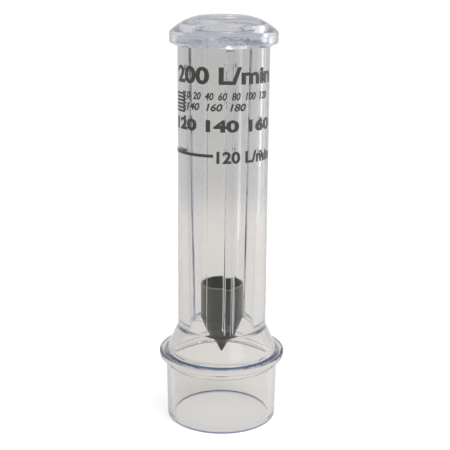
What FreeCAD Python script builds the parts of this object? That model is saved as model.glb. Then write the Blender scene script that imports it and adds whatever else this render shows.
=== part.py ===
# Clear airflow flowmeter: a tapered metering tube with a push-on socket, a cup float and a vented cap.
import FreeCAD, Part
import math
import os

# Sizes are in millimetres. Heights count up from the socket's mouth.
# Angles are in degrees and turn from the front, which faces -Y, towards +X.

# Cup float
FLOAT_R = 9.8
FLOAT_WALL = 0.8
FLOAT_SIDE_H = 15.8
FLOAT_TAPER_H = 5.0
FLOAT_TAPER_IN = 1.8
FLOAT_CROWN_H = 4.2
FLOAT_CROWN_IN = 2.4
FLOAT_SHOULDER_H = 3.2
FLOAT_SHOULDER_IN = 2.9
FLOAT_SPIKE_H = 4.4
FLOAT_TIP_R = 0.35
FLOAT_EDGE_ROUND = 0.25

# Guide ribs that the float slides between
RIB_COUNT = 3
RIB_WIDTH = 2.7
RIB_TURN = 11.0
RIB_ROOT_SINK = 1.0
RIB_ROOT_BEVEL = 0.75
RIB_TOP_CLEAR = 6.0
GUIDE_CLEARANCE = 0.3
SEAT_GAP = 0.3
SEAT_BITE = 0.7

# Metering tube, with its tapered bore and the draft of its lower outside
RIB_DEPTH_AT_FOOT = 5.0
BORE_WIDENING = 1.85
TUBE_WALL_AT_TOP = 3.25
TUBE_LENGTH = 131.8
TUBE_DRAFT = 0.2
TUBE_STRAIGHT_H = 58.0

# Push-on socket below the tube
SOCKET_BORE_R = 22.3
SOCKET_DEPTH = 25.5
SOCKET_WALL_AT_MOUTH = 3.05
SOCKET_WALL_AT_TOP = 3.6
SOCKET_STOP_W = 0.5
MOUTH_EDGE = 0.4

# Flange round the top of the socket
FLANGE_REACH = 3.1
FLANGE_H = 3.4
FLANGE_TOP_ROUND = 0.4
FLANGE_LOW_ROUND = 1.9
FLANGE_ROOT_ROUND = 0.8
FLANGE_TOP_ABOVE_STOP = 6.5

# Conical shoulder from the flange up to the tube
SHOULDER_WALL_AT_FOOT = 4.0
SHOULDER_H = 12.2
SHOULDER_FOOT_ROUND = 1.2
SHOULDER_TOP_ROUND = 2.0
THROAT_H = 7.0
THROAT_ROUND = 3.0
BORE_FOOT_ROUND = 2.0

# Domed cap over the tube's top end, with one round air outlet
CAP_FIT = 0.05
CAP_LAP = 4.8
CAP_WALL = 3.45
CAP_RIM_H = 4.6
CAP_CHAMFER_H = 1.6
CAP_CHAMFER_W = 2.8
CAP_DOME_H = 7.0
CAP_DOME_BULGE = 1.4
CAP_LEDGE_W = 3.0
CAP_THROAT_H = 2.5
OUTLET_R = 8.0
OUTLET_LIP_W = 1.0
OUTLET_H = 2.2
STOP_GAP = 0.3

# Printed marks on the outside of the tube
INK_SEAT = 0.02
INK_H = 0.1
LINE_BELOW_CAP = 45.0
LINE_WIDTH = 1.3
LINE_ENDS = (-96.0, -12.0)
TICK_COUNT = 6
TICK_WIDTH = 0.9
TICKS_BELOW_CAP = (27.4, 19.0)
TICK_ENDS = (-76.0, -54.0)
TITLE_BELOW_CAP = (14.8, 6.2)
TITLE_ENDS = (-76.0, 76.0)
UNITS_BELOW_CAP = (21.4, 18.0)
UNITS_ENDS = (-50.0, 64.0)
NOTE_BELOW_CAP = (26.0, 22.6)
NOTE_ENDS = (-50.0, 28.0)
RANGE_BELOW_CAP = (34.9, 29.4)
RANGE_ENDS = (-75.0, 73.0)
LABEL_BELOW_CAP = (48.3, 42.9)
LABEL_ENDS = (-8.0, 76.0)

# Radii worked out from the sizes above
RIB_TIP_R = FLOAT_R + GUIDE_CLEARANCE
BORE_FOOT_R = RIB_TIP_R + RIB_DEPTH_AT_FOOT
BORE_TOP_R = BORE_FOOT_R + BORE_WIDENING
TUBE_R = BORE_TOP_R + TUBE_WALL_AT_TOP
TUBE_FOOT_R = TUBE_R + TUBE_DRAFT
SOCKET_MOUTH_R = SOCKET_BORE_R + SOCKET_WALL_AT_MOUTH
SOCKET_TOP_R = SOCKET_BORE_R + SOCKET_WALL_AT_TOP
THROAT_R = SOCKET_BORE_R - SOCKET_STOP_W
FLANGE_R = SOCKET_TOP_R + FLANGE_REACH
SHOULDER_FOOT_R = THROAT_R + SHOULDER_WALL_AT_FOOT
CAP_BORE_R = TUBE_R + CAP_FIT
CAP_R = CAP_BORE_R + CAP_WALL
CAP_THROAT_R = TUBE_R - CAP_LEDGE_W
OUTLET_LIP_R = OUTLET_R + OUTLET_LIP_W
TAPER_FOOT_R = FLOAT_R - FLOAT_TAPER_IN

# Heights worked out from the sizes above
FLANGE_TOP_Z = SOCKET_DEPTH + FLANGE_TOP_ABOVE_STOP
FLANGE_LOW_Z = FLANGE_TOP_Z - FLANGE_H
SHOULDER_TOP_Z = FLANGE_TOP_Z + SHOULDER_H
BORE_FOOT_Z = SHOULDER_TOP_Z
TUBE_TOP_Z = SHOULDER_TOP_Z + TUBE_LENGTH
DRAFT_TOP_Z = TUBE_TOP_Z - TUBE_STRAIGHT_H
RIB_TOP_Z = TUBE_TOP_Z - RIB_TOP_CLEAR
CAP_FOOT_Z = TUBE_TOP_Z + CAP_FIT - CAP_LAP
CAP_LEDGE_Z = TUBE_TOP_Z + CAP_FIT
CAP_CEILING_Z = CAP_LEDGE_Z + CAP_THROAT_H
CAP_SIDE_Z = CAP_FOOT_Z + CAP_CHAMFER_H
CAP_RIM_Z = CAP_SIDE_Z + CAP_RIM_H
CAP_TOP_Z = CAP_RIM_Z + CAP_DOME_H
TAPER_FOOT_Z = BORE_FOOT_Z - SEAT_BITE
TAPER_TOP_Z = TAPER_FOOT_Z + FLOAT_TAPER_H
FLOAT_RIM_Z = TAPER_TOP_Z + FLOAT_SIDE_H

AXIS = FreeCAD.Vector(0, 0, 1)
ORIGIN = FreeCAD.Vector(0, 0, 0)


def point(r, z):
    """A point of a turned profile, at radius r and height z."""
    return FreeCAD.Vector(r, 0, z)


def rounded_corner(before, corner, after, radius):
    """The two ends and the middle of the arc that rounds one corner of a profile."""
    back = (before - corner).normalize()
    ahead = (after - corner).normalize()
    half = back.getAngle(ahead) / 2
    reach = radius / math.tan(half)
    middle = (back + ahead).normalize()
    centre = corner + middle * (radius / math.sin(half))
    return corner + back * reach, centre - middle * radius, corner + ahead * reach


def turned(corners):
    """A solid of revolution. Each corner is (r, z) or (r, z, rounding)."""
    places = [point(c[0], c[1]) for c in corners]
    edges = []
    joins = []
    for i, corner in enumerate(corners):
        if len(corner) == 3:
            before = places[i - 1]
            after = places[(i + 1) % len(places)]
            start, middle, end = rounded_corner(before, places[i], after, corner[2])
            edges.append(Part.Arc(start, middle, end).toShape())
            joins.append((start, end))
        else:
            joins.append((places[i], places[i]))
    for i in range(len(joins)):
        leave = joins[i - 1][1]
        arrive = joins[i][0]
        edges.append(Part.LineSegment(leave, arrive).toShape())
    return spun(edges)


def spun(edges):
    """The solid that a closed set of profile edges sweeps in one full turn."""
    wire = Part.Wire(Part.__sortEdges__(edges))
    return Part.Face(wire).revolve(ORIGIN, AXIS, 360)


def facing(shape, angle):
    """A copy of a shape turned so that its -Y side looks towards the given angle."""
    copy = shape.copy()
    copy.rotate(ORIGIN, AXIS, angle)
    return copy


def make_tube_shell():
    """Socket, flange, shoulder and tapered tube, turned as one wall."""
    return turned([
        (SOCKET_BORE_R, 0, MOUTH_EDGE),
        (SOCKET_MOUTH_R, 0, MOUTH_EDGE),
        (SOCKET_TOP_R, FLANGE_LOW_Z, FLANGE_ROOT_ROUND),
        (FLANGE_R, FLANGE_LOW_Z, FLANGE_LOW_ROUND),
        (FLANGE_R, FLANGE_TOP_Z, FLANGE_TOP_ROUND),
        (SHOULDER_FOOT_R, FLANGE_TOP_Z, SHOULDER_FOOT_ROUND),
        (TUBE_FOOT_R, SHOULDER_TOP_Z, SHOULDER_TOP_ROUND),
        (TUBE_R, DRAFT_TOP_Z),
        (TUBE_R, TUBE_TOP_Z),
        (BORE_TOP_R, TUBE_TOP_Z),
        (BORE_FOOT_R, BORE_FOOT_Z, BORE_FOOT_ROUND),
        (THROAT_R, SOCKET_DEPTH + THROAT_H, THROAT_ROUND),
        (THROAT_R, SOCKET_DEPTH),
        (SOCKET_BORE_R, SOCKET_DEPTH),
    ])


def bore_radius(z):
    """Radius of the tapered bore at a height."""
    share = (z - BORE_FOOT_Z) / (TUBE_TOP_Z - BORE_FOOT_Z)
    return BORE_FOOT_R + share * BORE_WIDENING


def make_rib():
    """One guide rib facing the front, with the toe that holds the resting float."""
    slope = FLOAT_TAPER_IN / FLOAT_TAPER_H
    lean = math.hypot(1, slope)
    toe_r = TAPER_FOOT_R + slope * (BORE_FOOT_Z - TAPER_FOOT_Z) + SEAT_GAP * lean
    toe_top_z = BORE_FOOT_Z + (RIB_TIP_R - toe_r) / slope
    outline = [
        (toe_r, BORE_FOOT_Z),
        (BORE_FOOT_R + RIB_ROOT_SINK, BORE_FOOT_Z),
        (bore_radius(RIB_TOP_Z) + RIB_ROOT_SINK, RIB_TOP_Z),
        (RIB_TIP_R, RIB_TOP_Z),
        (RIB_TIP_R, toe_top_z),
        (toe_r, BORE_FOOT_Z),
    ]
    corners = [FreeCAD.Vector(RIB_WIDTH / 2, -r, z) for r, z in outline]
    face = Part.Face(Part.makePolygon(corners))
    return face.extrude(FreeCAD.Vector(-RIB_WIDTH, 0, 0)).fuse(make_rib_root())


def make_rib_root():
    """The bevelled root that joins both flanks of the rib to the leaning bore."""
    tip = RIB_WIDTH / 2
    spread = tip + RIB_ROOT_BEVEL + RIB_ROOT_SINK
    narrow = BORE_FOOT_R - RIB_ROOT_BEVEL
    wide = BORE_FOOT_R + RIB_ROOT_SINK
    outline = [(-tip, narrow), (tip, narrow), (spread, wide), (-spread, wide), (-tip, narrow)]
    corners = [FreeCAD.Vector(x, -r, BORE_FOOT_Z) for x, r in outline]
    face = Part.Face(Part.makePolygon(corners))
    lean = BORE_FOOT_R - bore_radius(RIB_TOP_Z)
    return face.extrude(FreeCAD.Vector(0, lean, RIB_TOP_Z - BORE_FOOT_Z))


def make_metering_tube():
    """The clear moulding: tapered tube, guide ribs, shoulder, flange and socket."""
    tube = make_tube_shell()
    rib = make_rib()
    for i in range(RIB_COUNT):
        tube = tube.fuse(facing(rib, RIB_TURN + i * 360 / RIB_COUNT))
    return tube.removeSplitter()


def make_cup_float():
    """The hollow float: an open cup whose tapered foot ends in a spike."""
    crown_r = TAPER_FOOT_R - FLOAT_CROWN_IN
    crown_z = TAPER_FOOT_Z - FLOAT_CROWN_H
    spike_r = crown_r - FLOAT_SHOULDER_IN
    spike_z = crown_z - FLOAT_SHOULDER_H
    tip_z = spike_z - FLOAT_SPIKE_H
    floor_z = crown_z + FLOAT_WALL
    return turned([
        (0, tip_z),
        (FLOAT_TIP_R, tip_z),
        (spike_r, spike_z),
        (crown_r, crown_z),
        (TAPER_FOOT_R, TAPER_FOOT_Z),
        (FLOAT_R, TAPER_TOP_Z),
        (FLOAT_R, FLOAT_RIM_Z, FLOAT_EDGE_ROUND),
        (FLOAT_R - FLOAT_WALL, FLOAT_RIM_Z, FLOAT_EDGE_ROUND),
        (FLOAT_R - FLOAT_WALL, TAPER_TOP_Z),
        (TAPER_FOOT_R - FLOAT_WALL, TAPER_FOOT_Z),
        (crown_r - FLOAT_WALL, floor_z),
        (0, floor_z),
    ])


def dome_arc(foot, crest):
    """An arc of the dome, which bulges up and out from the chord between its ends."""
    chord = crest - foot
    outward = FreeCAD.Vector(chord.z, 0, -chord.x).normalize()
    return Part.Arc(foot, (foot + crest) / 2 + outward * CAP_DOME_BULGE, crest).toShape()


def dome_outside():
    """The arc from the cap's rim in to the lip of its outlet."""
    return dome_arc(point(CAP_R, CAP_RIM_Z), point(OUTLET_LIP_R, CAP_TOP_Z))


def dome_inside():
    """The arc under the dome, from the throat in to the foot of its outlet."""
    return dome_arc(point(CAP_THROAT_R, CAP_CEILING_Z), point(OUTLET_R, CAP_TOP_Z - OUTLET_H))


def runs(corners):
    """Straight profile edges from each (r, z) corner to the next."""
    places = [point(r, z) for r, z in corners]
    return [Part.LineSegment(a, b).toShape() for a, b in zip(places, places[1:])]


def make_vented_cap():
    """The clear cap: a bored rim under a thin dome with a round outlet."""
    lip = runs([
        (OUTLET_LIP_R, CAP_TOP_Z),
        (OUTLET_R, CAP_TOP_Z),
        (OUTLET_R, CAP_TOP_Z - OUTLET_H),
    ])
    rim = runs([
        (CAP_THROAT_R, CAP_CEILING_Z),
        (CAP_THROAT_R, CAP_LEDGE_Z),
        (CAP_BORE_R, CAP_LEDGE_Z),
        (CAP_BORE_R, CAP_FOOT_Z),
        (CAP_R - CAP_CHAMFER_W, CAP_FOOT_Z),
        (CAP_R, CAP_SIDE_Z),
        (CAP_R, CAP_RIM_Z),
    ])
    return spun(lip + rim + [dome_outside(), dome_inside()])


def float_travel():
    """How far the float rises before its rim is a small gap below the dome."""
    circle = dome_inside().Curve
    across = FLOAT_R - circle.Center.x
    stop_z = circle.Center.z + math.sqrt(circle.Radius ** 2 - across ** 2)
    return stop_z - STOP_GAP - FLOAT_RIM_Z


def ink_patch(below_cap, ends):
    """A thin printed field round the tube, between two drops below the cap and two angles."""
    low, high = [CAP_FOOT_Z - drop for drop in below_cap]
    inner = TUBE_R + INK_SEAT
    outer = inner + INK_H
    outline = [(inner, low), (outer, low), (outer, high), (inner, high), (inner, low)]
    corners = [FreeCAD.Vector(0, -r, z) for r, z in outline]
    face = Part.Face(Part.makePolygon(corners))
    return facing(face.revolve(ORIGIN, AXIS, ends[1] - ends[0]), ends[0])


def make_flow_marks():
    """The minimum flow line round the tube's front and a ladder of graduation ticks."""
    half = LINE_WIDTH / 2
    marks = [ink_patch((LINE_BELOW_CAP + half, LINE_BELOW_CAP - half), LINE_ENDS)]
    pitch = (TICKS_BELOW_CAP[0] - TICKS_BELOW_CAP[1] - TICK_WIDTH) / (TICK_COUNT - 1)
    for i in range(TICK_COUNT):
        top = TICKS_BELOW_CAP[1] + i * pitch
        marks.append(ink_patch((top + TICK_WIDTH, top), TICK_ENDS))
    return Part.makeCompound(marks)


def make_number_fields():
    """The printed rows of the scale, as plain fields of ink."""
    return Part.makeCompound([
        ink_patch(TITLE_BELOW_CAP, TITLE_ENDS),
        ink_patch(UNITS_BELOW_CAP, UNITS_ENDS),
        ink_patch(NOTE_BELOW_CAP, NOTE_ENDS),
        ink_patch(RANGE_BELOW_CAP, RANGE_ENDS),
        ink_patch(LABEL_BELOW_CAP, LABEL_ENDS),
    ])


def main():
    """Build every piece and write one file for each."""
    os.makedirs("parts", exist_ok=True)
    pieces = {
        "metering_tube": make_metering_tube(),
        "vented_cap": make_vented_cap(),
        "cup_float": make_cup_float(),
        "flow_marks": make_flow_marks(),
        "number_fields": make_number_fields(),
    }
    for name, shape in pieces.items():
        shape.exportStep("parts/" + name + ".step")
        box = shape.BoundBox
        print(name, len(shape.Solids), "solids", shape.isValid(), round(shape.Volume, 2), box)
    print("float travel", round(float_travel(), 3))


main()
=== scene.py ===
"""Looks of a clear airflow flowmeter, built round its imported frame.

Lengths are in metres, and sizes in millimetres are written as a number times MM. Angles are in degrees
and turn from the front of the part, which faces -Y, towards +X.
"""

import logging
import math
from dataclasses import dataclass
from enum import Enum

import bmesh
import bpy
from mathutils import Matrix, Vector


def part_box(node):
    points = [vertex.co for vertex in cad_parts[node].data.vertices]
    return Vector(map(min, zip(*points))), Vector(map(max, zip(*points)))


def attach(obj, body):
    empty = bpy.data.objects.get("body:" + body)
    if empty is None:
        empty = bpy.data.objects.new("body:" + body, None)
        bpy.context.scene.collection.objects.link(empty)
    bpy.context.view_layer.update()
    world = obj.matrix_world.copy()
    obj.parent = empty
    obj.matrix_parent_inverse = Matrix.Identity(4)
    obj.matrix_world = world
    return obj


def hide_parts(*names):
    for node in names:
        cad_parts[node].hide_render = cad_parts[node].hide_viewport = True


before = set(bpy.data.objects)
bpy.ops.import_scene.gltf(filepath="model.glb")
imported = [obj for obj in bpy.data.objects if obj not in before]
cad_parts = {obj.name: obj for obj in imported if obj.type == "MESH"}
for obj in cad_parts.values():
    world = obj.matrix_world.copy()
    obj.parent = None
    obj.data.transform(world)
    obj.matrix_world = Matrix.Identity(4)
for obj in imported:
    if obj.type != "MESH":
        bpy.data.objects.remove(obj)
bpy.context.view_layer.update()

MM = 0.001
MERGE_DISTANCE = 0.001 * MM
SHARP_ANGLE = math.radians(20)
GUARD = 0.3 * MM
TURN_SEGMENTS = 320
PLATE_STEP_ANGLE = 1.0
# A fade that is over well behind the part, so that a painted band of shade goes all the way round.
NO_FADE = (1.0, 0.9)

log = logging.getLogger("flowmeter")

Point = tuple[float, float]
Corner = tuple[float, ...]


class Body(Enum):
    """The moving bodies of the frame."""

    TUBE = "tube_body"
    FLOAT = "float_body"


class Role(Enum):
    """What a station round the metering tube's section belongs to."""

    WALL = "wall"
    SEAM = "seam"
    RIB = "rib"


def linear(code: str) -> tuple[float, float, float, float]:
    """Turn an sRGB hex colour into the linear values that Blender's sockets take.

    Args:
        code: Six hex digits, such as "C8C4BE".

    Returns:
        Red, green, blue and a full alpha.
    """
    parts = [int(code[i:i + 2], 16) / 255 for i in (0, 2, 4)]
    red, green, blue = [p / 12.92 if p <= 0.04045 else ((p + 0.055) / 1.055) ** 2.4 for p in parts]
    return red, green, blue, 1.0


def add_node(tree: bpy.types.NodeTree, kind: str, settings: dict | None = None,
             inputs: dict | None = None) -> bpy.types.Node:
    """Add a node, set its properties, and fill or link its inputs.

    Args:
        tree: The node tree that gets the node.
        kind: The node's type name.
        settings: Property names and values.
        inputs: Input names or indices, each with a value or with the output socket to link.

    Returns:
        The new node.
    """
    node = tree.nodes.new(kind)
    for name, value in (settings or {}).items():
        setattr(node, name, value)
    for key, value in (inputs or {}).items():
        if isinstance(value, bpy.types.NodeSocket):
            tree.links.new(value, node.inputs[key])
        else:
            node.inputs[key].default_value = value
    return node


def place(angle: float, radius: float, z: float) -> Vector:
    """The point at an angle from the front, a radius from the axis and a height."""
    turn = math.radians(angle)
    return Vector((radius * math.sin(turn), -radius * math.cos(turn), z))


def rounded_profile(corners: list[Corner], steps: int = 5) -> list[Point]:
    """Round the corners of a closed profile.

    Args:
        corners: Each corner as (r, z) or (r, z, rounding radius).
        steps: How many chords each arc is drawn with.

    Returns:
        The profile's points as (r, z), with an arc in place of each rounded corner. A point stands on the
        straight run close to each end of an arc, so that the smooth shading doesn't bend the run.
    """
    points: list[Point] = []
    for i, corner in enumerate(corners):
        here = Vector(corner[:2])
        if len(corner) == 2:
            points.append((here.x, here.y))
            continue
        back = Vector(corners[i - 1][:2]) - here
        ahead = Vector(corners[(i + 1) % len(corners)][:2]) - here
        half = back.angle(ahead) / 2
        reach = corner[2] / math.tan(half)
        centre = here + (back.normalized() + ahead.normalized()).normalized() * (corner[2] / math.sin(half))
        guards = [here + run.normalized() * (reach + min(GUARD, (run.length - reach) / 4))
                  for run in (back, ahead)]
        start = here + back.normalized() * reach - centre
        end = here + ahead.normalized() * reach - centre
        points.append((guards[0].x, guards[0].y))
        for k in range(steps + 1):
            spoke = start.lerp(end, k / steps).normalized() * corner[2]
            points.append((centre.x + spoke.x, centre.y + spoke.y))
        points.append((guards[1].x, guards[1].y))
    return points


def finish_mesh(mesh: bpy.types.Mesh) -> None:
    """Merge doubles, point the faces outwards, and smooth all but the sharp edges."""
    work = bmesh.new()
    work.from_mesh(mesh)
    bmesh.ops.remove_doubles(work, verts=work.verts, dist=MERGE_DISTANCE)
    bmesh.ops.dissolve_degenerate(work, dist=MERGE_DISTANCE, edges=work.edges)
    bmesh.ops.recalc_face_normals(work, faces=work.faces)
    work.to_mesh(mesh)
    work.free()
    mesh.shade_smooth()
    mesh.set_sharp_from_angle(angle=SHARP_ANGLE)


def new_object(name: str, mesh: bpy.types.Mesh) -> bpy.types.Object:
    """Put a mesh into the scene as an object at the origin."""
    piece = bpy.data.objects.new(name, mesh)
    bpy.context.scene.collection.objects.link(piece)
    return piece


def seat(piece: bpy.types.Object, body: Body, replaced: str) -> None:
    """Tie a piece to its body and the node that it stands for."""
    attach(piece, body.value)
    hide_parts(replaced)
    log.info("%s: %d faces, rides on %s", piece.name, len(piece.data.polygons), body.value)


def run_tree(source: bpy.types.Object, tree: bpy.types.NodeTree, name: str,
             values: dict[str, object]) -> bpy.types.Mesh:
    """Run a geometry tree on an object and keep the result as a plain mesh.

    Args:
        source: The object that the tree works on. It is removed afterwards.
        tree: The geometry node tree.
        name: The name of the new mesh.
        values: The tree's inputs by name.

    Returns:
        The evaluated mesh.
    """
    modifier = source.modifiers.new(name, "NODES")
    modifier.node_group = tree
    for item in tree.interface.items_tree:
        if item.item_type == "SOCKET" and item.in_out == "INPUT" and item.name in values:
            modifier[item.identifier] = values[item.name]
    bpy.context.view_layer.update()
    evaluated = source.evaluated_get(bpy.context.evaluated_depsgraph_get())
    mesh = bpy.data.meshes.new_from_object(evaluated)
    mesh.name = name
    source.modifiers.remove(modifier)
    bpy.data.objects.remove(source)
    return mesh


def new_geometry_tree(name: str, sockets: dict[str, str]) -> bpy.types.NodeTree:
    """Start a geometry tree with named inputs.

    Args:
        name: The tree's name.
        sockets: Input names with their socket types.

    Returns:
        The tree, with its Geometry input and output in place.
    """
    tree = bpy.data.node_groups.new(name, "GeometryNodeTree")
    tree.interface.new_socket("Geometry", in_out="INPUT", socket_type="NodeSocketGeometry")
    for socket, kind in sockets.items():
        tree.interface.new_socket(socket, in_out="INPUT", socket_type=kind)
    tree.interface.new_socket("Geometry", in_out="OUTPUT", socket_type="NodeSocketGeometry")
    return tree


def turning_tree() -> bpy.types.NodeTree:
    """A tree that spins a row of profile points, at (r, 0, z), into a closed turned mesh."""
    tree = new_geometry_tree("turned", {"Segments": "NodeSocketInt", "Material": "NodeSocketMaterial"})
    given = add_node(tree, "NodeGroupInput")
    size = add_node(tree, "GeometryNodeAttributeDomainSize", {"component": "MESH"},
                    {0: given.outputs["Geometry"]})
    across = add_node(tree, "ShaderNodeMath", {"operation": "ADD"}, {0: given.outputs["Segments"], 1: 1.0})
    grid = add_node(tree, "GeometryNodeMeshGrid", None,
                    {"Vertices X": across.outputs[0], "Vertices Y": size.outputs["Point Count"]})
    index = add_node(tree, "GeometryNodeInputIndex")
    step = add_node(tree, "ShaderNodeMath", {"operation": "MODULO"},
                    {0: index.outputs[0], 1: size.outputs["Point Count"]})
    column = add_node(tree, "ShaderNodeMath", {"operation": "DIVIDE"},
                      {0: index.outputs[0], 1: size.outputs["Point Count"]})
    whole = add_node(tree, "ShaderNodeMath", {"operation": "FLOOR"}, {0: column.outputs[0]})
    share = add_node(tree, "ShaderNodeMath", {"operation": "DIVIDE"},
                     {0: whole.outputs[0], 1: given.outputs["Segments"]})
    angle = add_node(tree, "ShaderNodeMath", {"operation": "MULTIPLY"}, {0: share.outputs[0], 1: math.tau})
    position = add_node(tree, "GeometryNodeInputPosition")
    sample = add_node(tree, "GeometryNodeSampleIndex", {"data_type": "FLOAT_VECTOR"},
                      {"Geometry": given.outputs["Geometry"], "Value": position.outputs[0],
                       "Index": step.outputs[0]})
    spin = add_node(tree, "ShaderNodeVectorRotate", {"rotation_type": "Z_AXIS"},
                    {"Vector": sample.outputs[0], "Angle": angle.outputs[0]})
    moved = add_node(tree, "GeometryNodeSetPosition", None,
                     {"Geometry": grid.outputs["Mesh"], "Position": spin.outputs[0]})
    merged = add_node(tree, "GeometryNodeMergeByDistance", None,
                      {"Geometry": moved.outputs[0], "Distance": MERGE_DISTANCE})
    real = add_node(tree, "GeometryNodeRealizeInstances", None, {0: merged.outputs[0]})
    dressed = add_node(tree, "GeometryNodeSetMaterial", None,
                       {"Geometry": real.outputs[0], "Material": given.outputs["Material"]})
    add_node(tree, "NodeGroupOutput", None, {0: dressed.outputs[0]})
    return tree


def row_tree(name: str) -> bpy.types.NodeTree:
    """A tree that repeats a tool shape in a straight row, with inputs for its count and its step."""
    tree = new_geometry_tree(name, {"Tool": "NodeSocketObject", "Count": "NodeSocketInt",
                                    "Step": "NodeSocketVector", "Material": "NodeSocketMaterial"})
    given = add_node(tree, "NodeGroupInput")
    tool = add_node(tree, "GeometryNodeObjectInfo", None, {"Object": given.outputs["Tool"]})
    row = add_node(tree, "GeometryNodeMeshLine", {"mode": "OFFSET"},
                   {"Count": given.outputs["Count"], "Offset": given.outputs["Step"]})
    copies = add_node(tree, "GeometryNodeInstanceOnPoints", None,
                      {"Points": row.outputs["Mesh"], "Instance": tool.outputs["Geometry"]})
    real = add_node(tree, "GeometryNodeRealizeInstances", None, {0: copies.outputs[0]})
    dressed = add_node(tree, "GeometryNodeSetMaterial", None,
                       {"Geometry": real.outputs[0], "Material": given.outputs["Material"]})
    add_node(tree, "NodeGroupOutput", None, {0: dressed.outputs[0]})
    return tree


def turned_mesh(name: str, profile: list[Point], material: bpy.types.Material) -> bpy.types.Mesh:
    """Spin a profile round the axis with the turning tree."""
    points = [(r, 0.0, z) for r, z in profile + profile[:1]]
    outline = bpy.data.meshes.new(name + "_profile")
    outline.from_pydata(points, [], [])
    mesh = run_tree(new_object(name + "_profile", outline), turning_tree(), name,
                    {"Segments": TURN_SEGMENTS, "Material": material})
    finish_mesh(mesh)
    return mesh


def curved_plate(name: str, ends: Point, heights: Point, inner: float, outer: float) -> bpy.types.Mesh:
    """A thin closed plate bent round the axis.

    Args:
        name: The mesh's name.
        ends: The two angles that it runs between.
        heights: Its lowest and highest z.
        inner: Radius of its inner face.
        outer: Radius of its outer face.

    Returns:
        The plate's mesh.
    """
    sections = math.ceil((ends[1] - ends[0]) / PLATE_STEP_ANGLE)
    vertices = []
    faces = []
    for i in range(sections + 1):
        angle = ends[0] + (ends[1] - ends[0]) * i / sections
        for radius, z in ((inner, heights[0]), (outer, heights[0]), (outer, heights[1]), (inner, heights[1])):
            vertices.append(place(angle, radius, z))
    for i in range(sections):
        for k in range(4):
            near = 4 * i
            faces.append((near + k, near + (k + 1) % 4, near + 4 + (k + 1) % 4, near + 4 + k))
    faces.append((3, 2, 1, 0))
    faces.append(tuple(4 * sections + k for k in range(4)))
    mesh = bpy.data.meshes.new(name)
    mesh.from_pydata(vertices, [], faces)
    finish_mesh(mesh)
    return mesh


@dataclass(frozen=True)
class PaintedBand:
    """A band of painted shade on the skin, bluer and darker, standing in for light that has run along inside
    the wall and comes out there.

    The band lies between two heights and two radii. It fades in from the first y to the second.
    """

    heights: Point
    radii: Point
    fade_y: Point = NO_FADE
    share: float = 1.0

    def factor(self, tree: bpy.types.NodeTree,
               at: dict[str, bpy.types.NodeSocket]) -> bpy.types.NodeSocket:
        """How strongly a point takes the band's painted shade.

        Args:
            tree: The material's node tree.
            at: Sockets with the point's y, its height z and its radius r.

        Returns:
            The band's share inside it, and 0 elsewhere.
        """
        result = add_node(tree, "ShaderNodeMapRange", {"interpolation_type": "SMOOTHSTEP"},
                          {"Value": at["y"], "From Min": self.fade_y[0], "From Max": self.fade_y[1],
                           "To Max": self.share})
        for key, (least, most) in (("z", self.heights), ("r", self.radii)):
            within = add_node(tree, "ShaderNodeMath", {"operation": "COMPARE"},
                              {0: at[key], 1: (least + most) / 2, 2: (most - least) / 2})
            result = add_node(tree, "ShaderNodeMath", {"operation": "MULTIPLY"},
                              {0: result.outputs[0], 1: within.outputs[0]})
        return result.outputs[0]


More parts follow.
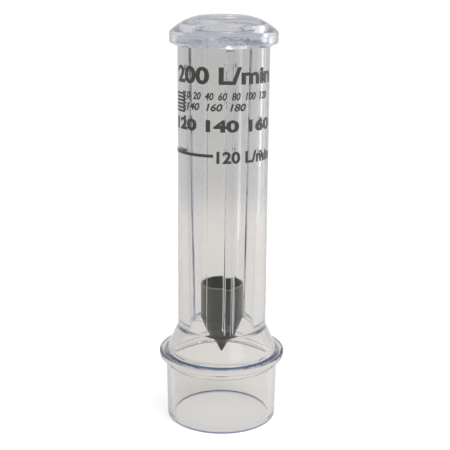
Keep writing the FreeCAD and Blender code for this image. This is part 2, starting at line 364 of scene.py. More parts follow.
@dataclass(frozen=True)
class ClearPlastic:
    """Polycarbonate, injection moulded and polished: clear as glass, with a grey cast and a cool depth.

    Only the outer skin is tinted, so that a ray meets the tint once for each wall. It turns from the skin's
    colour to a painted shade, greyer towards the top, between two heights, and stays clear past covered_z,
    where the cap takes over. Skin counts as outer beyond inner_r, which goes from its first radius to its
    second along inner_z. Painted shade darkens the skin at grazing edges, where the eye looks along the wall,
    and in a few navy bands.
    The depth's colour and density are the body colour, and streaks are the flow marks of the moulding.
    """

    name: str
    skin: str = "CDC9C3"
    # The colour of the painted shade that greys the skin towards the top, and the heights over which it comes
    # in.
    top_shade: str = "B7B5B2"
    top_shade_z: Point = (92 * MM, 112 * MM)
    covered_z: Point = (171.0 * MM, 171.4 * MM)
    inner_z: Point = (32 * MM, 44 * MM)
    inner_r: Point = (24 * MM, 18.5 * MM)
    depth: str = "5C74A6"
    density: float = 12.0
    ior: float = 1.585
    shine: str = "A0A0A0"
    # The colour of the painted shade towards the skin's grazing edges, and the facing range over which it
    # comes in.
    grazing_shade: str = "343C4C"
    grazing_shade_facing: Point = (0.55, 0.95)
    # The colour of the painted navy shade in the bands: at the socket's mouth, the flange's top edge and
    # where the shoulder meets the tube.
    glow: str = "2C395C"
    painted_bands: tuple[PaintedBand, ...] = (
        PaintedBand((-1 * MM, 0.7 * MM), (20 * MM, 30 * MM)),
        PaintedBand((31.8 * MM, 32.4 * MM), (25.4 * MM, 27.4 * MM), (2 * MM, -10 * MM)),
        PaintedBand((43.4 * MM, 44.9 * MM), (20 * MM, 22 * MM), (-18 * MM, -12 * MM), share=0.9),
    )
    roughness: float = 0.012
    streak_width: float = 5 * MM
    streak_length: float = 90 * MM
    streak_depth: float = 0.006 * MM
    streak_detail: float = 2.0
    streak_falloff: float = 0.4

    def build(self) -> bpy.types.Material:
        """Make the material: transmission under a tinted skin, a body colour by depth, and flow streaks."""
        material = bpy.data.materials.new(self.name)
        material.use_nodes = True
        tree = material.node_tree
        tree.nodes.clear()
        coordinates = add_node(tree, "ShaderNodeTexCoord")
        stretch = (1 / self.streak_width, 1 / self.streak_width, 1 / self.streak_length)
        mapping = add_node(tree, "ShaderNodeMapping", None,
                           {"Vector": coordinates.outputs["Object"], "Scale": stretch})
        flow = add_node(tree, "ShaderNodeTexNoise", None,
                        {"Vector": mapping.outputs[0], "Scale": 1.0, "Detail": self.streak_detail,
                         "Roughness": self.streak_falloff})
        bump = add_node(tree, "ShaderNodeBump", None,
                        {"Height": flow.outputs[0], "Distance": self.streak_depth, "Strength": 1.0})
        shader = add_node(tree, "ShaderNodeBsdfPrincipled", None,
                          {"Base Color": self.tint(tree, coordinates.outputs["Object"]),
                           "Roughness": self.roughness, "IOR": self.ior, "Transmission Weight": 1.0,
                           "Specular Tint": linear(self.shine), "Normal": bump.outputs[0]})
        depth = add_node(tree, "ShaderNodeVolumeAbsorption", None,
                         {"Color": linear(self.depth), "Density": self.density})
        add_node(tree, "ShaderNodeOutputMaterial", None,
                 {"Surface": shader.outputs[0], "Volume": depth.outputs[0]})
        return material

    def tint(self, tree: bpy.types.NodeTree, place_socket: bpy.types.NodeSocket) -> bpy.types.NodeSocket:
        """The tint of the surface: the skin's colour outside, and white inside and where the cap covers it.

        Args:
            tree: The material's node tree.
            place_socket: The socket with the point's place on the object.

        Returns:
            The socket with the tint.
        """
        axes = add_node(tree, "ShaderNodeSeparateXYZ", None, {0: place_socket})
        level = add_node(tree, "ShaderNodeVectorMath", {"operation": "MULTIPLY"},
                         {0: place_socket, 1: (1.0, 1.0, 0.0)})
        radius = add_node(tree, "ShaderNodeVectorMath", {"operation": "LENGTH"}, {0: level.outputs[0]})
        at = {"y": axes.outputs["Y"], "z": axes.outputs["Z"], "r": radius.outputs["Value"]}
        core = add_node(tree, "ShaderNodeMapRange", None,
                        {"Value": at["z"], "From Min": self.inner_z[0], "From Max": self.inner_z[1],
                         "To Min": self.inner_r[0], "To Max": self.inner_r[1]})
        outside = add_node(tree, "ShaderNodeMath", {"operation": "GREATER_THAN"},
                           {0: at["r"], 1: core.outputs[0]})
        bare = add_node(tree, "ShaderNodeMapRange", {"interpolation_type": "SMOOTHSTEP"},
                        {"Value": at["z"], "From Min": self.covered_z[0], "From Max": self.covered_z[1],
                         "To Min": 1.0, "To Max": 0.0})
        tinted = add_node(tree, "ShaderNodeMath", {"operation": "MULTIPLY"},
                          {0: outside.outputs[0], 1: bare.outputs[0]})
        colour = add_node(tree, "ShaderNodeMix", {"data_type": "RGBA"},
                          {"Factor": tinted.outputs[0], "A": linear("FFFFFF"),
                           "B": self.skin_colour(tree, at)})
        return colour.outputs["Result"]

    def skin_colour(self, tree: bpy.types.NodeTree,
                    at: dict[str, bpy.types.NodeSocket]) -> bpy.types.NodeSocket:
        """The outer skin's colour, with its painted shade towards the top, at its grazing edges and in its
        bands.

        Args:
            tree: The material's node tree.
            at: Sockets with the point's y, its height z and its radius r.

        Returns:
            The socket with the colour.
        """
        # Painted shade: the skin turns greyer towards the top.
        shaded_above = add_node(tree, "ShaderNodeMapRange", {"interpolation_type": "SMOOTHSTEP"},
                          {"Value": at["z"], "From Min": self.top_shade_z[0], "From Max": self.top_shade_z[1]})
        skin = add_node(tree, "ShaderNodeMix", {"data_type": "RGBA"},
                        {"Factor": shaded_above.outputs[0], "A": linear(self.skin), "B": linear(self.top_shade)})
        # Painted shade: the skin darkens where the wall is seen edge on.
        facing = add_node(tree, "ShaderNodeLayerWeight", None, {"Blend": 0.5})
        grazing = add_node(tree, "ShaderNodeMapRange", {"interpolation_type": "SMOOTHSTEP"},
                           {"Value": facing.outputs["Facing"], "From Min": self.grazing_shade_facing[0],
                            "From Max": self.grazing_shade_facing[1]})
        skin = add_node(tree, "ShaderNodeMix", {"data_type": "RGBA"},
                        {"Factor": grazing.outputs[0], "A": skin.outputs["Result"], "B": linear(self.grazing_shade)})
        # Painted navy shade in the bands.
        band_share = 0.0
        for glow in self.painted_bands:
            more = add_node(tree, "ShaderNodeMath", {"operation": "ADD"},
                            {0: glow.factor(tree, at), 1: band_share})
            band_share = more.outputs[0]
        skin = add_node(tree, "ShaderNodeMix", {"data_type": "RGBA"},
                        {"Factor": band_share, "A": skin.outputs["Result"], "B": linear(self.glow)})
        return skin.outputs["Result"]


@dataclass(frozen=True)
class FloatPlastic:
    """Polypropylene, moulded in charcoal grey: satin, with a fine spark-eroded grain and paler flow clouds.

    Its barrel has a soft greenish sheen, which fades out along sheen_z towards the spike.
    """

    name: str = "moulded_polypropylene_charcoal"
    dark: str = "1A1D1C"
    pale: str = "2F3331"
    roughness: Point = (0.24, 0.36)
    ior: float = 1.6
    cloud: float = 6 * MM
    cloud_detail: float = 4.0
    grain: float = 0.35 * MM
    grain_detail: float = 2.0
    grain_depth: float = 0.02 * MM
    grain_strength: float = 0.5
    sheen: float = 1.0
    sheen_z: Point = (38 * MM, 52 * MM)
    sheen_tint: str = "D0DCCC"
    sheen_roughness: float = 0.6
    # The colour of a painted highlight along the float's rim edge, and the heights that it covers.
    rim: str = "8C908A"
    rim_highlight_z: Point = (63.9 * MM, 64.1 * MM)

    def build(self) -> bpy.types.Material:
        """Make the material: two greys mixed in soft clouds, over a fine bump, and a painted highlight along
        the rim.
        """
        material = bpy.data.materials.new(self.name)
        material.use_nodes = True
        tree = material.node_tree
        tree.nodes.clear()
        coordinates = add_node(tree, "ShaderNodeTexCoord")
        clouds = add_node(tree, "ShaderNodeTexNoise", None,
                          {"Vector": coordinates.outputs["Object"], "Scale": 1 / self.cloud,
                           "Detail": self.cloud_detail})
        tint = add_node(tree, "ShaderNodeMix", {"data_type": "RGBA"},
                        {"Factor": clouds.outputs[0], "A": linear(self.dark), "B": linear(self.pale)})
        height = add_node(tree, "ShaderNodeSeparateXYZ", None, {0: coordinates.outputs["Object"]})
        # Painted highlight: a paler line along the rim's edge.
        rim_highlit = add_node(tree, "ShaderNodeMapRange", None,
                        {"Value": height.outputs["Z"], "From Min": self.rim_highlight_z[0], "From Max": self.rim_highlight_z[1]})
        tint = add_node(tree, "ShaderNodeMix", {"data_type": "RGBA"},
                        {"Factor": rim_highlit.outputs[0], "A": tint.outputs["Result"], "B": linear(self.rim)})
        grain = add_node(tree, "ShaderNodeTexNoise", None,
                         {"Vector": coordinates.outputs["Object"], "Scale": 1 / self.grain,
                          "Detail": self.grain_detail})
        bump = add_node(tree, "ShaderNodeBump", None,
                        {"Height": grain.outputs[0], "Distance": self.grain_depth,
                         "Strength": self.grain_strength})
        rough = add_node(tree, "ShaderNodeMapRange", None,
                         {"Value": clouds.outputs[0], "To Min": self.roughness[0],
                          "To Max": self.roughness[1]})
        barrel = add_node(tree, "ShaderNodeMapRange", None,
                          {"Value": height.outputs["Z"], "From Min": self.sheen_z[0],
                           "From Max": self.sheen_z[1], "To Max": self.sheen})
        shader = add_node(tree, "ShaderNodeBsdfPrincipled", None,
                          {"Base Color": tint.outputs["Result"], "Roughness": rough.outputs[0],
                           "IOR": self.ior, "Normal": bump.outputs[0], "Sheen Weight": barrel.outputs[0],
                           "Sheen Roughness": self.sheen_roughness, "Sheen Tint": linear(self.sheen_tint)})
        add_node(tree, "ShaderNodeOutputMaterial", None, {"Surface": shader.outputs[0]})
        return material


@dataclass(frozen=True)
class PrintInk:
    """Pad-printing ink: a thin matt olive black, a little uneven where the pad lifted."""

    name: str = "pad_print_ink_black"
    dark: str = "1E1F1B"
    thin: str = "33342E"
    roughness: float = 0.5
    mottle: float = 0.9 * MM
    mottle_detail: float = 3.0

    def build(self) -> bpy.types.Material:
        """Make the material: two close tones in a fine mottle."""
        material = bpy.data.materials.new(self.name)
        material.use_nodes = True
        tree = material.node_tree
        tree.nodes.clear()
        coordinates = add_node(tree, "ShaderNodeTexCoord")
        mottle = add_node(tree, "ShaderNodeTexNoise", None,
                          {"Vector": coordinates.outputs["Object"], "Scale": 1 / self.mottle,
                           "Detail": self.mottle_detail})
        tint = add_node(tree, "ShaderNodeMix", {"data_type": "RGBA"},
                        {"Factor": mottle.outputs[0], "A": linear(self.dark), "B": linear(self.thin)})
        shader = add_node(tree, "ShaderNodeBsdfPrincipled", None,
                          {"Base Color": tint.outputs["Result"], "Roughness": self.roughness})
        add_node(tree, "ShaderNodeOutputMaterial", None, {"Surface": shader.outputs[0]})
        return material


@dataclass(frozen=True)
class Station:
    """One upright line of vertices round the metering tube's section.

    On a rib, the angle is that of its middle, and the step counts from one flank's root to the other's.
    """

    role: Role
    angle: float
    step: int = 0


@dataclass(frozen=True)
class Ring:
    """One level section of the metering tube's skin. A tip radius makes the guide ribs stand out of it."""

    radius: float
    z: float
    tip: float | None = None
    seam: float = 0.0


@dataclass
class MeteringTube:
    """The clear moulding: socket, flange, shoulder, and the tube with its tapered bore and guide ribs.

    A rib's toe is its foot, where the float rests: it reaches in to toe_r and ends at toe_top_z. The rings
    below the ribs have the same lines as those on them, spread over root_angle to each side of a rib's
    middle, and the plain wall's lines start at wall_start_angle. No other line stands nearer to a seam than
    seam_margin times half its width.
    """

    socket_bore_r: float = 22.3 * MM
    socket_mouth_r: float = 25.35 * MM
    socket_top_r: float = 25.9 * MM
    socket_depth: float = 25.5 * MM
    mouth_edge: float = 0.4 * MM
    throat_r: float = 21.8 * MM
    throat_top_z: float = 32.5 * MM
    throat_round: float = 3.0 * MM
    flange_low_z: float = 28.6 * MM
    flange_low_round: float = 1.9 * MM
    flange_root: float = 0.8 * MM
    flange_top_z: float = 32.0 * MM
    flange_edge: float = 0.4 * MM
    shoulder_foot_r: float = 25.8 * MM
    shoulder_round: float = 1.2 * MM
    shoulder_top_z: float = 44.2 * MM
    shoulder_top_round: float = 2.0 * MM
    tube_r: float = 20.2 * MM
    tube_foot_r: float = 20.4 * MM
    draft_top_z: float = 118.0 * MM
    bore_foot_z: float = 44.2 * MM
    bore_foot_r: float = 15.1 * MM
    bore_foot_round_h: float = 0.5 * MM
    bore_top_r: float = 16.95 * MM
    rib_count: int = 3
    rib_turn: float = 11.0
    rib_width: float = 2.7 * MM
    rib_tip_r: float = 10.1 * MM
    rib_top_clear: float = 6.0 * MM
    root_fillet: float = 1.1 * MM
    tip_round: float = 0.2 * MM
    arc_steps: int = 4
    toe_r: float = 8.57 * MM
    toe_top_z: float = 48.45 * MM
    root_angle: float = 10.0
    wall_start_angle: float = 11.2
    station_angle: float = 1.1
    seam_angles: tuple[float, ...] = (-19.5, 160.5)
    seam_half_angle: float = 0.5
    seam_margin: float = 1.5
    seam_height: float = 0.08 * MM

    def __post_init__(self) -> None:
        """Take the overall sizes from the frame."""
        _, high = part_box("metering_tube")
        self.flange_r = high.x
        self.top_z = high.z
        self.rib_top_z = self.top_z - self.rib_top_clear
        self.rib_steps = len(self.rib_section(self.bore_top_r, self.rib_tip_r))

    def bore_r(self, z: float) -> float:
        """Radius of the tapered bore at a height."""
        share = (z - self.bore_foot_z) / (self.top_z - self.bore_foot_z)
        return self.bore_foot_r + share * (self.bore_top_r - self.bore_foot_r)

    def rib_section(self, wall_r: float, tip_r: float) -> list[Point]:
        """One rib's outline on a level section, from one root to the other.

        Args:
            wall_r: Radius of the bore at this height.
            tip_r: Radius that the rib reaches in to.

        Returns:
            Points as (distance across from the rib's middle, distance out from the axis).
        """
        half = self.rib_width / 2
        deep = math.sqrt((wall_r - self.root_fillet) ** 2 - (half + self.root_fillet) ** 2)
        lean = math.atan2(deep, half + self.root_fillet)
        flank = []
        for k in range(self.arc_steps + 1):
            turn = lean + (math.pi - lean) * k / self.arc_steps
            flank.append((half + self.root_fillet * (1 + math.cos(turn)),
                          deep + self.root_fillet * math.sin(turn)))
        flank.append((half, deep - GUARD))
        flank.append((half, tip_r + self.tip_round + GUARD))
        for k in range(self.arc_steps + 1):
            turn = -math.pi / 2 * k / self.arc_steps
            flank.append((half - self.tip_round * (1 - math.cos(turn)),
                          tip_r + self.tip_round * (1 + math.sin(turn))))
        flank.append((half - self.tip_round - GUARD, tip_r))
        return [(-across, out) for across, out in flank] + flank[::-1]

    def stations(self) -> list[Station]:
        """The upright lines of the section, in order round the axis."""
        lines = []
        pitch = 360 / self.rib_count
        for i in range(self.rib_count):
            centre = self.rib_turn + i * pitch
            lines += [Station(Role.RIB, centre, k) for k in range(self.rib_steps)]
            lines += self.wall_stations(centre + self.wall_start_angle,
                                        centre + pitch - self.wall_start_angle)
        return lines

    def wall_stations(self, start: float, end: float) -> list[Station]:
        """The evenly spaced lines between two ribs, with a fine ridge where the mould halves met."""
        seams = [(a - start) % 360 + start for a in self.seam_angles]
        seams = [a for a in seams if a < end]
        count = round((end - start) / self.station_angle)
        angles = [start + (end - start) * k / count for k in range(count + 1)]
        lines = [Station(Role.WALL, a) for a in angles
                 if all(abs(a - s) > self.seam_margin * self.seam_half_angle for s in seams)]
        for s in seams:
            lines += [Station(Role.WALL, s - self.seam_half_angle), Station(Role.SEAM, s),
                      Station(Role.WALL, s + self.seam_half_angle)]
        return sorted(lines, key=lambda line: line.angle)

    def vertex(self, ring: Ring, line: Station) -> Vector:
        """Where one upright line crosses one level section."""
        if line.role is Role.WALL:
            return place(line.angle, ring.radius, ring.z)
        if line.role is Role.SEAM:
            return place(line.angle, ring.radius + ring.seam, ring.z)
        if ring.tip is None:
            share = 2 * line.step / (self.rib_steps - 1) - 1
            return place(line.angle + share * self.root_angle, ring.radius, ring.z)
        across, out = self.rib_section(ring.radius, ring.tip)[line.step]
        return place(line.angle + math.degrees(math.atan2(across, out)), math.hypot(across, out), ring.z)

    def inner_rings(self) -> list[Ring]:
        """The skin inside, from the socket's mouth up to the tube's top end."""
        corner_z = self.bore_foot_z - self.bore_foot_round_h
        lean = math.atan2(self.throat_r - self.bore_foot_r, corner_z - self.throat_top_z)
        # The last three corners only lead the bore on and close the profile, so they are dropped.
        entry = rounded_profile([(self.socket_bore_r, 0.0, self.mouth_edge),
                                 (self.socket_bore_r, self.socket_depth),
                                 (self.throat_r, self.socket_depth, self.mouth_edge),
                                 (self.throat_r, self.throat_top_z, self.throat_round),
                                 (self.bore_foot_r, corner_z, self.bore_foot_round_h / math.tan(lean / 2)),
                                 (self.bore_foot_r, self.top_z),
                                 (self.socket_mouth_r, 0.0)])[:-3]
        rings = [Ring(r, z) for r, z in entry]
        top = self.bore_r(self.rib_top_z)
        toe_lean = (self.rib_tip_r - self.toe_r) / (self.toe_top_z - self.bore_foot_z)
        under = self.toe_top_z - GUARD
        over = self.toe_top_z + GUARD
        rings += [Ring(self.bore_foot_r, self.bore_foot_z, self.toe_r),
                  Ring(self.bore_r(under), under, self.rib_tip_r - toe_lean * GUARD),
                  Ring(self.bore_r(self.toe_top_z), self.toe_top_z, self.rib_tip_r),
                  Ring(self.bore_r(over), over, self.rib_tip_r),
                  Ring(top, self.rib_top_z, self.rib_tip_r),
                  Ring(top, self.rib_top_z),
                  Ring(self.bore_top_r, self.top_z)]
        return rings

    def outer_rings(self) -> list[Ring]:
        """The skin outside, from the tube's top end down to the socket's mouth."""
        # The first and last corners belong to the skin inside.
        profile = rounded_profile([(self.bore_top_r, self.top_z),
                                   (self.tube_r, self.top_z),
                                   (self.tube_r, self.draft_top_z),
                                   (self.tube_foot_r, self.shoulder_top_z, self.shoulder_top_round),
                                   (self.shoulder_foot_r, self.flange_top_z, self.shoulder_round),
                                   (self.flange_r, self.flange_top_z, self.flange_edge),
                                   (self.flange_r, self.flange_low_z, self.flange_low_round),
                                   (self.socket_top_r, self.flange_low_z, self.flange_root),
                                   (self.socket_mouth_r, 0.0, self.mouth_edge),
                                   (self.socket_bore_r, 0.0)])[1:-1]
        return [Ring(r, z, seam=self.seam_height if z > self.shoulder_top_z else 0.0) for r, z in profile]

    def build(self, material: bpy.types.Material) -> bpy.types.Object:
        """Skin the moulding ring by ring and dress it.

        Args:
            material: The clear plastic.

        Returns:
            The finished piece.
        """
        lines = self.stations()
        rings = self.inner_rings() + self.outer_rings()
        vertices = [self.vertex(ring, line) for ring in rings for line in lines]
        faces = []
        for i in range(len(rings)):
            low = i * len(lines)
            high = (i + 1) % len(rings) * len(lines)
            for k in range(len(lines)):
                nxt = (k + 1) % len(lines)
                faces.append((low + k, low + nxt, high + nxt, high + k))
        mesh = bpy.data.meshes.new("metering_tube_clear")
        mesh.from_pydata(vertices, [], faces)
        finish_mesh(mesh)
        mesh.materials.append(material)
        piece = new_object("metering_tube_clear", mesh)
        seat(piece, Body.TUBE, "metering_tube")
        return piece


@dataclass
class VentedCap:
    """The clear cap: a bored rim under a thin dome with a round air outlet."""

    fit: float = 0.05 * MM
    chamfer_h: float = 1.6 * MM
    chamfer_w: float = 2.8 * MM
    rim_h: float = 4.6 * MM
    dome_bulge: float = 1.4 * MM
    dome_steps: int = 14
    ledge_w: float = 3.0 * MM
    throat_h: float = 2.5 * MM
    edge_round: float = 0.4 * MM
    outlet_r: float = 8.0 * MM
    outlet_lip_w: float = 1.0 * MM
    outlet_h: float = 2.2 * MM

    def profile(self, tube: MeteringTube) -> list[Point]:
        """The cap's turned section."""
        low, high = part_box("vented_cap")
        foot, top, rim_r = low.z, high.z, high.x
        bore = tube.tube_r + self.fit
        throat = tube.tube_r - self.ledge_w
        ledge = tube.top_z + self.fit
        side = foot + self.chamfer_h
        outer = self.arc((rim_r, side + self.rim_h), (self.outlet_r + self.outlet_lip_w, top))
        inner = self.arc((throat, ledge + self.throat_h), (self.outlet_r, top - self.outlet_h))
        corners = [(self.outlet_r, top, self.edge_round / 2)]
        corners += inner[::-1]
        corners += [(throat, ledge),
                    (bore, ledge),
                    (bore, foot, self.edge_round / 2),
                    (rim_r - self.chamfer_w, foot, self.edge_round / 2),
                    (rim_r, side, self.edge_round)]
        corners += outer
        return rounded_profile(corners)

    def arc(self, foot: Point, crest: Point) -> list[Corner]:
        """An arc of the dome, bulging out and up, from its foot in to its crest."""
        start, end = Vector(foot), Vector(crest)
        chord = end - start
        normal = Vector((chord.y, -chord.x)).normalized()
        radius = (chord.length ** 2 / 4 + self.dome_bulge ** 2) / (2 * self.dome_bulge)
        centre = (start + end) / 2 - normal * (radius - self.dome_bulge)
        points = []
        for k in range(self.dome_steps + 1):
            spoke = (start - centre).lerp(end - centre, k / self.dome_steps).normalized() * radius
            points.append((centre.x + spoke.x, centre.y + spoke.y))
        return points

    def build(self, tube: MeteringTube, material: bpy.types.Material) -> bpy.types.Object:
        """Turn the cap and dress it.

        Args:
            tube: The tube that the cap fits over.
            material: The clear plastic.

        Returns:
            The finished piece.
        """
        piece = new_object("vented_cap_clear", turned_mesh("vented_cap_clear", self.profile(tube), material))
        seat(piece, Body.TUBE, "vented_cap")
        return piece


@dataclass
class CupFloat:
    """The hollow dark float: a thin cup with a tapered foot and a spike."""

    wall: float = 0.8 * MM
    side_h: float = 15.8 * MM
    taper_h: float = 5.0 * MM
    taper_in: float = 1.8 * MM
    crown_h: float = 4.2 * MM
    crown_in: float = 2.4 * MM
    shoulder_h: float = 3.2 * MM
    shoulder_in: float = 2.9 * MM
    tip_r: float = 0.35 * MM
    rim_round: float = 0.25 * MM
    soft_round: float = 1.2 * MM

    def profile(self) -> list[Point]:
        """The float's turned section."""
        low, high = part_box("cup_float")
        radius, rim = high.x, high.z
        taper_top = rim - self.side_h
        taper_foot = taper_top - self.taper_h
        foot_r = radius - self.taper_in
        crown = taper_foot - self.crown_h
        crown_r = foot_r - self.crown_in
        spike = crown - self.shoulder_h
        spike_r = crown_r - self.shoulder_in
        return rounded_profile([
            (0.0, low.z),
            (self.tip_r, low.z),
            (spike_r, spike, self.soft_round),
            (crown_r, crown, self.soft_round),
            (foot_r, taper_foot, self.soft_round),
            (radius, taper_top, self.soft_round),
            (radius, rim, self.rim_round),
            (radius - self.wall, rim, self.rim_round),
            (radius - self.wall, taper_top),
            (foot_r - self.wall, taper_foot),
            (crown_r - self.wall, crown + self.wall),
            (0.0, crown + self.wall)])

    def build(self, material: bpy.types.Material) -> bpy.types.Object:
        """Turn the float and dress it."""
        piece = new_object("cup_float_turned", turned_mesh("cup_float_turned", self.profile(), material))
        seat(piece, Body.FLOAT, "cup_float")
        return piece


class Face(Enum):
    """The styles of the printed numbers, as (weight, slant)."""

    BOLD = (0.035, 0.0)
    SLANTED = (0.03, 0.22)
    WIDE = (0.045, 0.0)


@dataclass(frozen=True)
class Row:
    """One printed row of numbers: its words, height band, angles and style."""

    text: str
    low: float
    high: float
    start: float
    end: float
    face: Face


@dataclass
class PrintedScale:
    """The print round the tube: numbers, a ladder of ticks and the minimum flow line."""

    seat_gap: float = 0.02 * MM
    ink_h: float = 0.1 * MM
    slice_width: float = 0.5 * MM
    curve_steps: int = 4
    line_ends: Point = (-96.0, -12.0)
    tick_ends: Point = (-76.0, -54.0)
    tick_width: float = 0.9 * MM
    tick_count: int = 6
    ladder_h: float = 8.4 * MM
    line_width: float = 1.3 * MM
    rows: tuple[Row, ...] = (
        Row("200 L/min", 156.4 * MM, 163.8 * MM, -72.0, 74.0, Face.BOLD),
        Row("0  20  40  60  80  100  120", 149.9 * MM, 153.2 * MM, -50.0, 64.0, Face.SLANTED),
        Row("140  160  180", 145.3 * MM, 148.6 * MM, -50.0, 28.0, Face.SLANTED),
        Row("120 140 160", 136.4 * MM, 141.8 * MM, -75.0, 73.0, Face.WIDE),
        Row("120 L/min", 123.0 * MM, 128.3 * MM, -8.0, 76.0, Face.BOLD),
    )

    def text_mesh(self, row: Row, radius: float) -> bpy.types.Mesh:
        """Set one row of numbers flat, scale it to its band, slice it and wrap it round the tube.

        Args:
            row: The row.
            radius: Radius of the ink's inner face.

        Returns:
            The row's mesh, in place.
        """
        half_depth = 0.5
        curve = bpy.data.curves.new("row", "FONT")
        curve.body = row.text
        curve.offset, curve.shear = row.face.value
        curve.extrude = half_depth
        curve.resolution_u = self.curve_steps
        setter = new_object("row", curve)
        bpy.context.view_layer.update()
        evaluated = setter.evaluated_get(bpy.context.evaluated_depsgraph_get())
        mesh = bpy.data.meshes.new_from_object(evaluated)
        bpy.data.objects.remove(setter)
        low = Vector([min(v.co[k] for v in mesh.vertices) for k in range(3)])
        high = Vector([max(v.co[k] for v in mesh.vertices) for k in range(3)])
        length = radius * math.radians(row.end - row.start)
        scale = (length / (high.x - low.x), (row.high - row.low) / (high.y - low.y), self.ink_h)
        mesh.transform(Matrix.Translation((-low.x, -low.y, half_depth)))
        mesh.transform(Matrix.Diagonal((*scale, 1.0)))
        self.slice(mesh, length)
        for vertex in mesh.vertices:
            x, y, depth = vertex.co
            vertex.co = place(row.start + math.degrees(x / radius), radius + depth, row.low + y)
        return mesh

    def slice(self, mesh: bpy.types.Mesh, length: float) -> None:
        """Cut a flat row into narrow upright strips, so that it can bend."""
        work = bmesh.new()
        work.from_mesh(mesh)
        bmesh.ops.remove_doubles(work, verts=work.verts, dist=MERGE_DISTANCE)
        for k in range(1, math.ceil(length / self.slice_width)):
            everything = work.verts[:] + work.edges[:] + work.faces[:]
            bmesh.ops.bisect_plane(work, geom=everything, plane_co=(k * self.slice_width, 0, 0),
                                   plane_no=(1, 0, 0), dist=MERGE_DISTANCE)
        work.to_mesh(mesh)
        work.free()

    def build(self, tube: MeteringTube, material: bpy.types.Material) -> list[bpy.types.Object]:
        """Print the whole scale.

        Args:
            tube: The tube that carries the print.
            material: The ink.

        Returns:
            The numbers and the marks.
        """
        inner = tube.tube_r + self.seat_gap
        work = bmesh.new()
        for row in self.rows:
            work.from_mesh(self.text_mesh(row, inner))
        numbers = bpy.data.meshes.new("scale_numbers")
        work.to_mesh(numbers)
        work.free()
        finish_mesh(numbers)
        numbers.materials.append(material)
        figures = new_object("scale_numbers", numbers)
        seat(figures, Body.TUBE, "number_fields")
        marks = self.marks(inner, material)
        return [figures, marks]

    def marks(self, inner: float, material: bpy.types.Material) -> bpy.types.Object:
        """The ladder of ticks, repeated up the tube, and the line round it, as one piece."""
        low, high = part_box("flow_marks")
        outer = inner + self.ink_h
        first = high.z - self.ladder_h
        pitch = (self.ladder_h - self.tick_width) / (self.tick_count - 1)
        tick = new_object("tick", curved_plate("tick", self.tick_ends, (first, first + self.tick_width),
                                               inner, outer))
        holder = new_object("tick_row", bpy.data.meshes.new("tick_row"))
        ladder = run_tree(holder, row_tree("ticks"), "tick_row",
                          {"Tool": tick, "Count": self.tick_count, "Step": (0.0, 0.0, pitch),
                           "Material": material})
        bpy.data.objects.remove(tick)
        line = curved_plate("line", self.line_ends, (low.z, low.z + self.line_width), inner, outer)
        work = bmesh.new()
        work.from_mesh(ladder)
        work.from_mesh(line)
        mesh = bpy.data.meshes.new("scale_marks")
        work.to_mesh(mesh)
        work.free()
        finish_mesh(mesh)
        mesh.materials.clear()
        mesh.materials.append(material)
        piece = new_object("scale_marks", mesh)
        seat(piece, Body.TUBE, "flow_marks")
        return piece


@dataclass(frozen=True)
class Lamp:
    """A soft rectangular lamp, with its place, its width and height, and its power in watts."""

    name: str
    at: tuple[float, float, float]
    size: Point
    power: float

    def hang(self, aim: Vector) -> None:
        """Hang the lamp so that it looks at a point."""
        data = bpy.data.lights.new(self.name, "AREA")
        data.shape = "RECTANGLE"
        data.size, data.size_y = self.size
        data.energy = self.power
        lamp = bpy.data.objects.new(self.name, data)
        lamp.location = self.at
        lamp.rotation_euler = (aim - Vector(self.at)).to_track_quat("-Z", "Y").to_euler()
        bpy.context.scene.collection.objects.link(lamp)


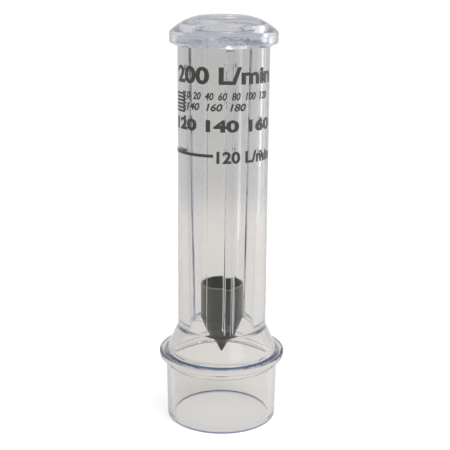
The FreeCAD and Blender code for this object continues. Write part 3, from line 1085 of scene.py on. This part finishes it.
@dataclass
class Studio:
    """The pale floor, the soft light and the camera.

    Light that a clear wall guides along itself turns many times before it leaves, so a ray may make
    light_turns turns.
    """

    floor_r: float = 8.0
    floor_segments: int = 64
    floor_grey: str = "C0C0C0"
    floor_glow: float = 0.62
    world_light: float = 0.85
    light_turns: int = 32
    lamps: tuple[Lamp, ...] = (
        Lamp("strip_right", (0.45, 0.22, 0.16), (0.20, 0.32), 0.15),
        Lamp("softbox_right", (0.30, 0.0, 0.09), (0.50, 0.30), 0.16),
        Lamp("softbox_above", (0.5, -0.5, 1.0), (0.6, 0.6), 7.0),
    )
    lamp_aim: tuple[float, float, float] = (0.0, 0.0, 0.1)
    camera_at: tuple[float, float, float] = (0.0, -417.782 * MM, 198.474 * MM)
    camera_down: float = 14.416
    camera_right: float = 0.1538
    camera_roll: float = 0.457
    lens: float = 75.986
    sensor: float = 36.0
    clip: Point = (0.01, 50.0)

    def backdrop_factor(self, tree: bpy.types.NodeTree) -> bpy.types.NodeSocket:
        """A factor for how a ray sees the surround.

        Args:
            tree: The floor's or the world's node tree.

        Returns:
            1 for the camera, a reflection or a refraction, and 0 for diffuse light.
        """
        path = add_node(tree, "ShaderNodeLightPath")
        bent = add_node(tree, "ShaderNodeMath", {"operation": "MAXIMUM"},
                        {0: path.outputs["Is Glossy Ray"], 1: path.outputs["Is Transmission Ray"]})
        either = add_node(tree, "ShaderNodeMath", {"operation": "MAXIMUM"},
                          {0: path.outputs["Is Camera Ray"], 1: bent.outputs[0]})
        return either.outputs[0]

    def light_world(self) -> None:
        """An even white surround: strength 1 where it is seen, also in or through the part, else less."""
        world = bpy.data.worlds.new("soft_surround")
        world.use_nodes = True
        tree = world.node_tree
        tree.nodes.clear()
        light = add_node(tree, "ShaderNodeBackground", None,
                         {"Color": linear("FFFFFF"), "Strength": self.world_light})
        seen = add_node(tree, "ShaderNodeBackground", None, {"Color": linear("FFFFFF"), "Strength": 1.0})
        mix = add_node(tree, "ShaderNodeMixShader", None,
                       {0: self.backdrop_factor(tree), 1: light.outputs[0], 2: seen.outputs[0]})
        add_node(tree, "ShaderNodeOutputWorld", None, {"Surface": mix.outputs[0]})
        bpy.context.scene.world = world

    def lay_floor(self) -> None:
        """A wide white floor that still takes the part's shadow."""
        mesh = bpy.data.meshes.new("studio_floor")
        work = bmesh.new()
        bmesh.ops.create_circle(work, cap_ends=True, segments=self.floor_segments, radius=self.floor_r)
        work.to_mesh(mesh)
        work.free()
        floor = new_object("studio_floor", mesh)
        material = bpy.data.materials.new("matt_white_sweep")
        material.use_nodes = True
        tree = material.node_tree
        tree.nodes.clear()
        matt = add_node(tree, "ShaderNodeBsdfDiffuse", None, {"Color": linear(self.floor_grey)})
        factor = add_node(tree, "ShaderNodeMath", {"operation": "MULTIPLY"},
                          {0: self.backdrop_factor(tree), 1: self.floor_glow})
        glow = add_node(tree, "ShaderNodeEmission", None,
                        {"Color": linear("FFFFFF"), "Strength": factor.outputs[0]})
        both = add_node(tree, "ShaderNodeAddShader", None, {0: matt.outputs[0], 1: glow.outputs[0]})
        add_node(tree, "ShaderNodeOutputMaterial", None, {"Surface": both.outputs[0]})
        mesh.materials.append(material)

    def set_camera(self) -> None:
        """The camera at the photograph's angle."""
        data = bpy.data.cameras.new("camera")
        data.lens = self.lens
        data.sensor_width = self.sensor
        data.clip_start, data.clip_end = self.clip
        camera = bpy.data.objects.new("camera", data)
        camera.location = self.camera_at
        turn = (Matrix.Rotation(math.radians(-self.camera_right), 3, "Z")
                @ Matrix.Rotation(math.radians(90 - self.camera_down), 3, "X")
                @ Matrix.Rotation(math.radians(self.camera_roll), 3, "Z"))
        camera.rotation_euler = turn.to_euler()
        bpy.context.scene.collection.objects.link(camera)
        bpy.context.scene.camera = camera

    def build(self) -> None:
        """Set up everything that isn't the part."""
        scene = bpy.context.scene
        scene.view_settings.view_transform = "Standard"
        scene.cycles.max_bounces = self.light_turns
        scene.cycles.glossy_bounces = self.light_turns
        scene.cycles.transmission_bounces = self.light_turns
        self.light_world()
        self.lay_floor()
        for lamp in self.lamps:
            lamp.hang(Vector(self.lamp_aim))
        self.set_camera()


def main() -> None:
    """Build the flowmeter piece by piece, then its studio."""
    logging.basicConfig(level=logging.INFO, format="%(name)s: %(message)s")
    tube = MeteringTube()
    tube.build(ClearPlastic("clear_polycarbonate_tube").build())
    # The cap's skin gets the same painted shade, a little greyer towards its top, and no painted bands.
    scuffed = ClearPlastic("clear_polycarbonate_cap", skin="DBDDE2", top_shade="D9DADE",
                           top_shade_z=(175.5 * MM, 179 * MM), covered_z=(190 * MM, 200 * MM),
                           inner_r=(0.0, 0.0), depth="8A8CA0", density=15.0, painted_bands=(), roughness=0.1,
                           streak_width=2.2 * MM, streak_length=1.6 * MM, streak_depth=0.085 * MM)
    VentedCap().build(tube, scuffed.build())
    CupFloat().build(FloatPlastic().build())
    PrintedScale().build(tube, PrintInk().build())
    Studio().build()


if __name__ == "__main__":
    main()
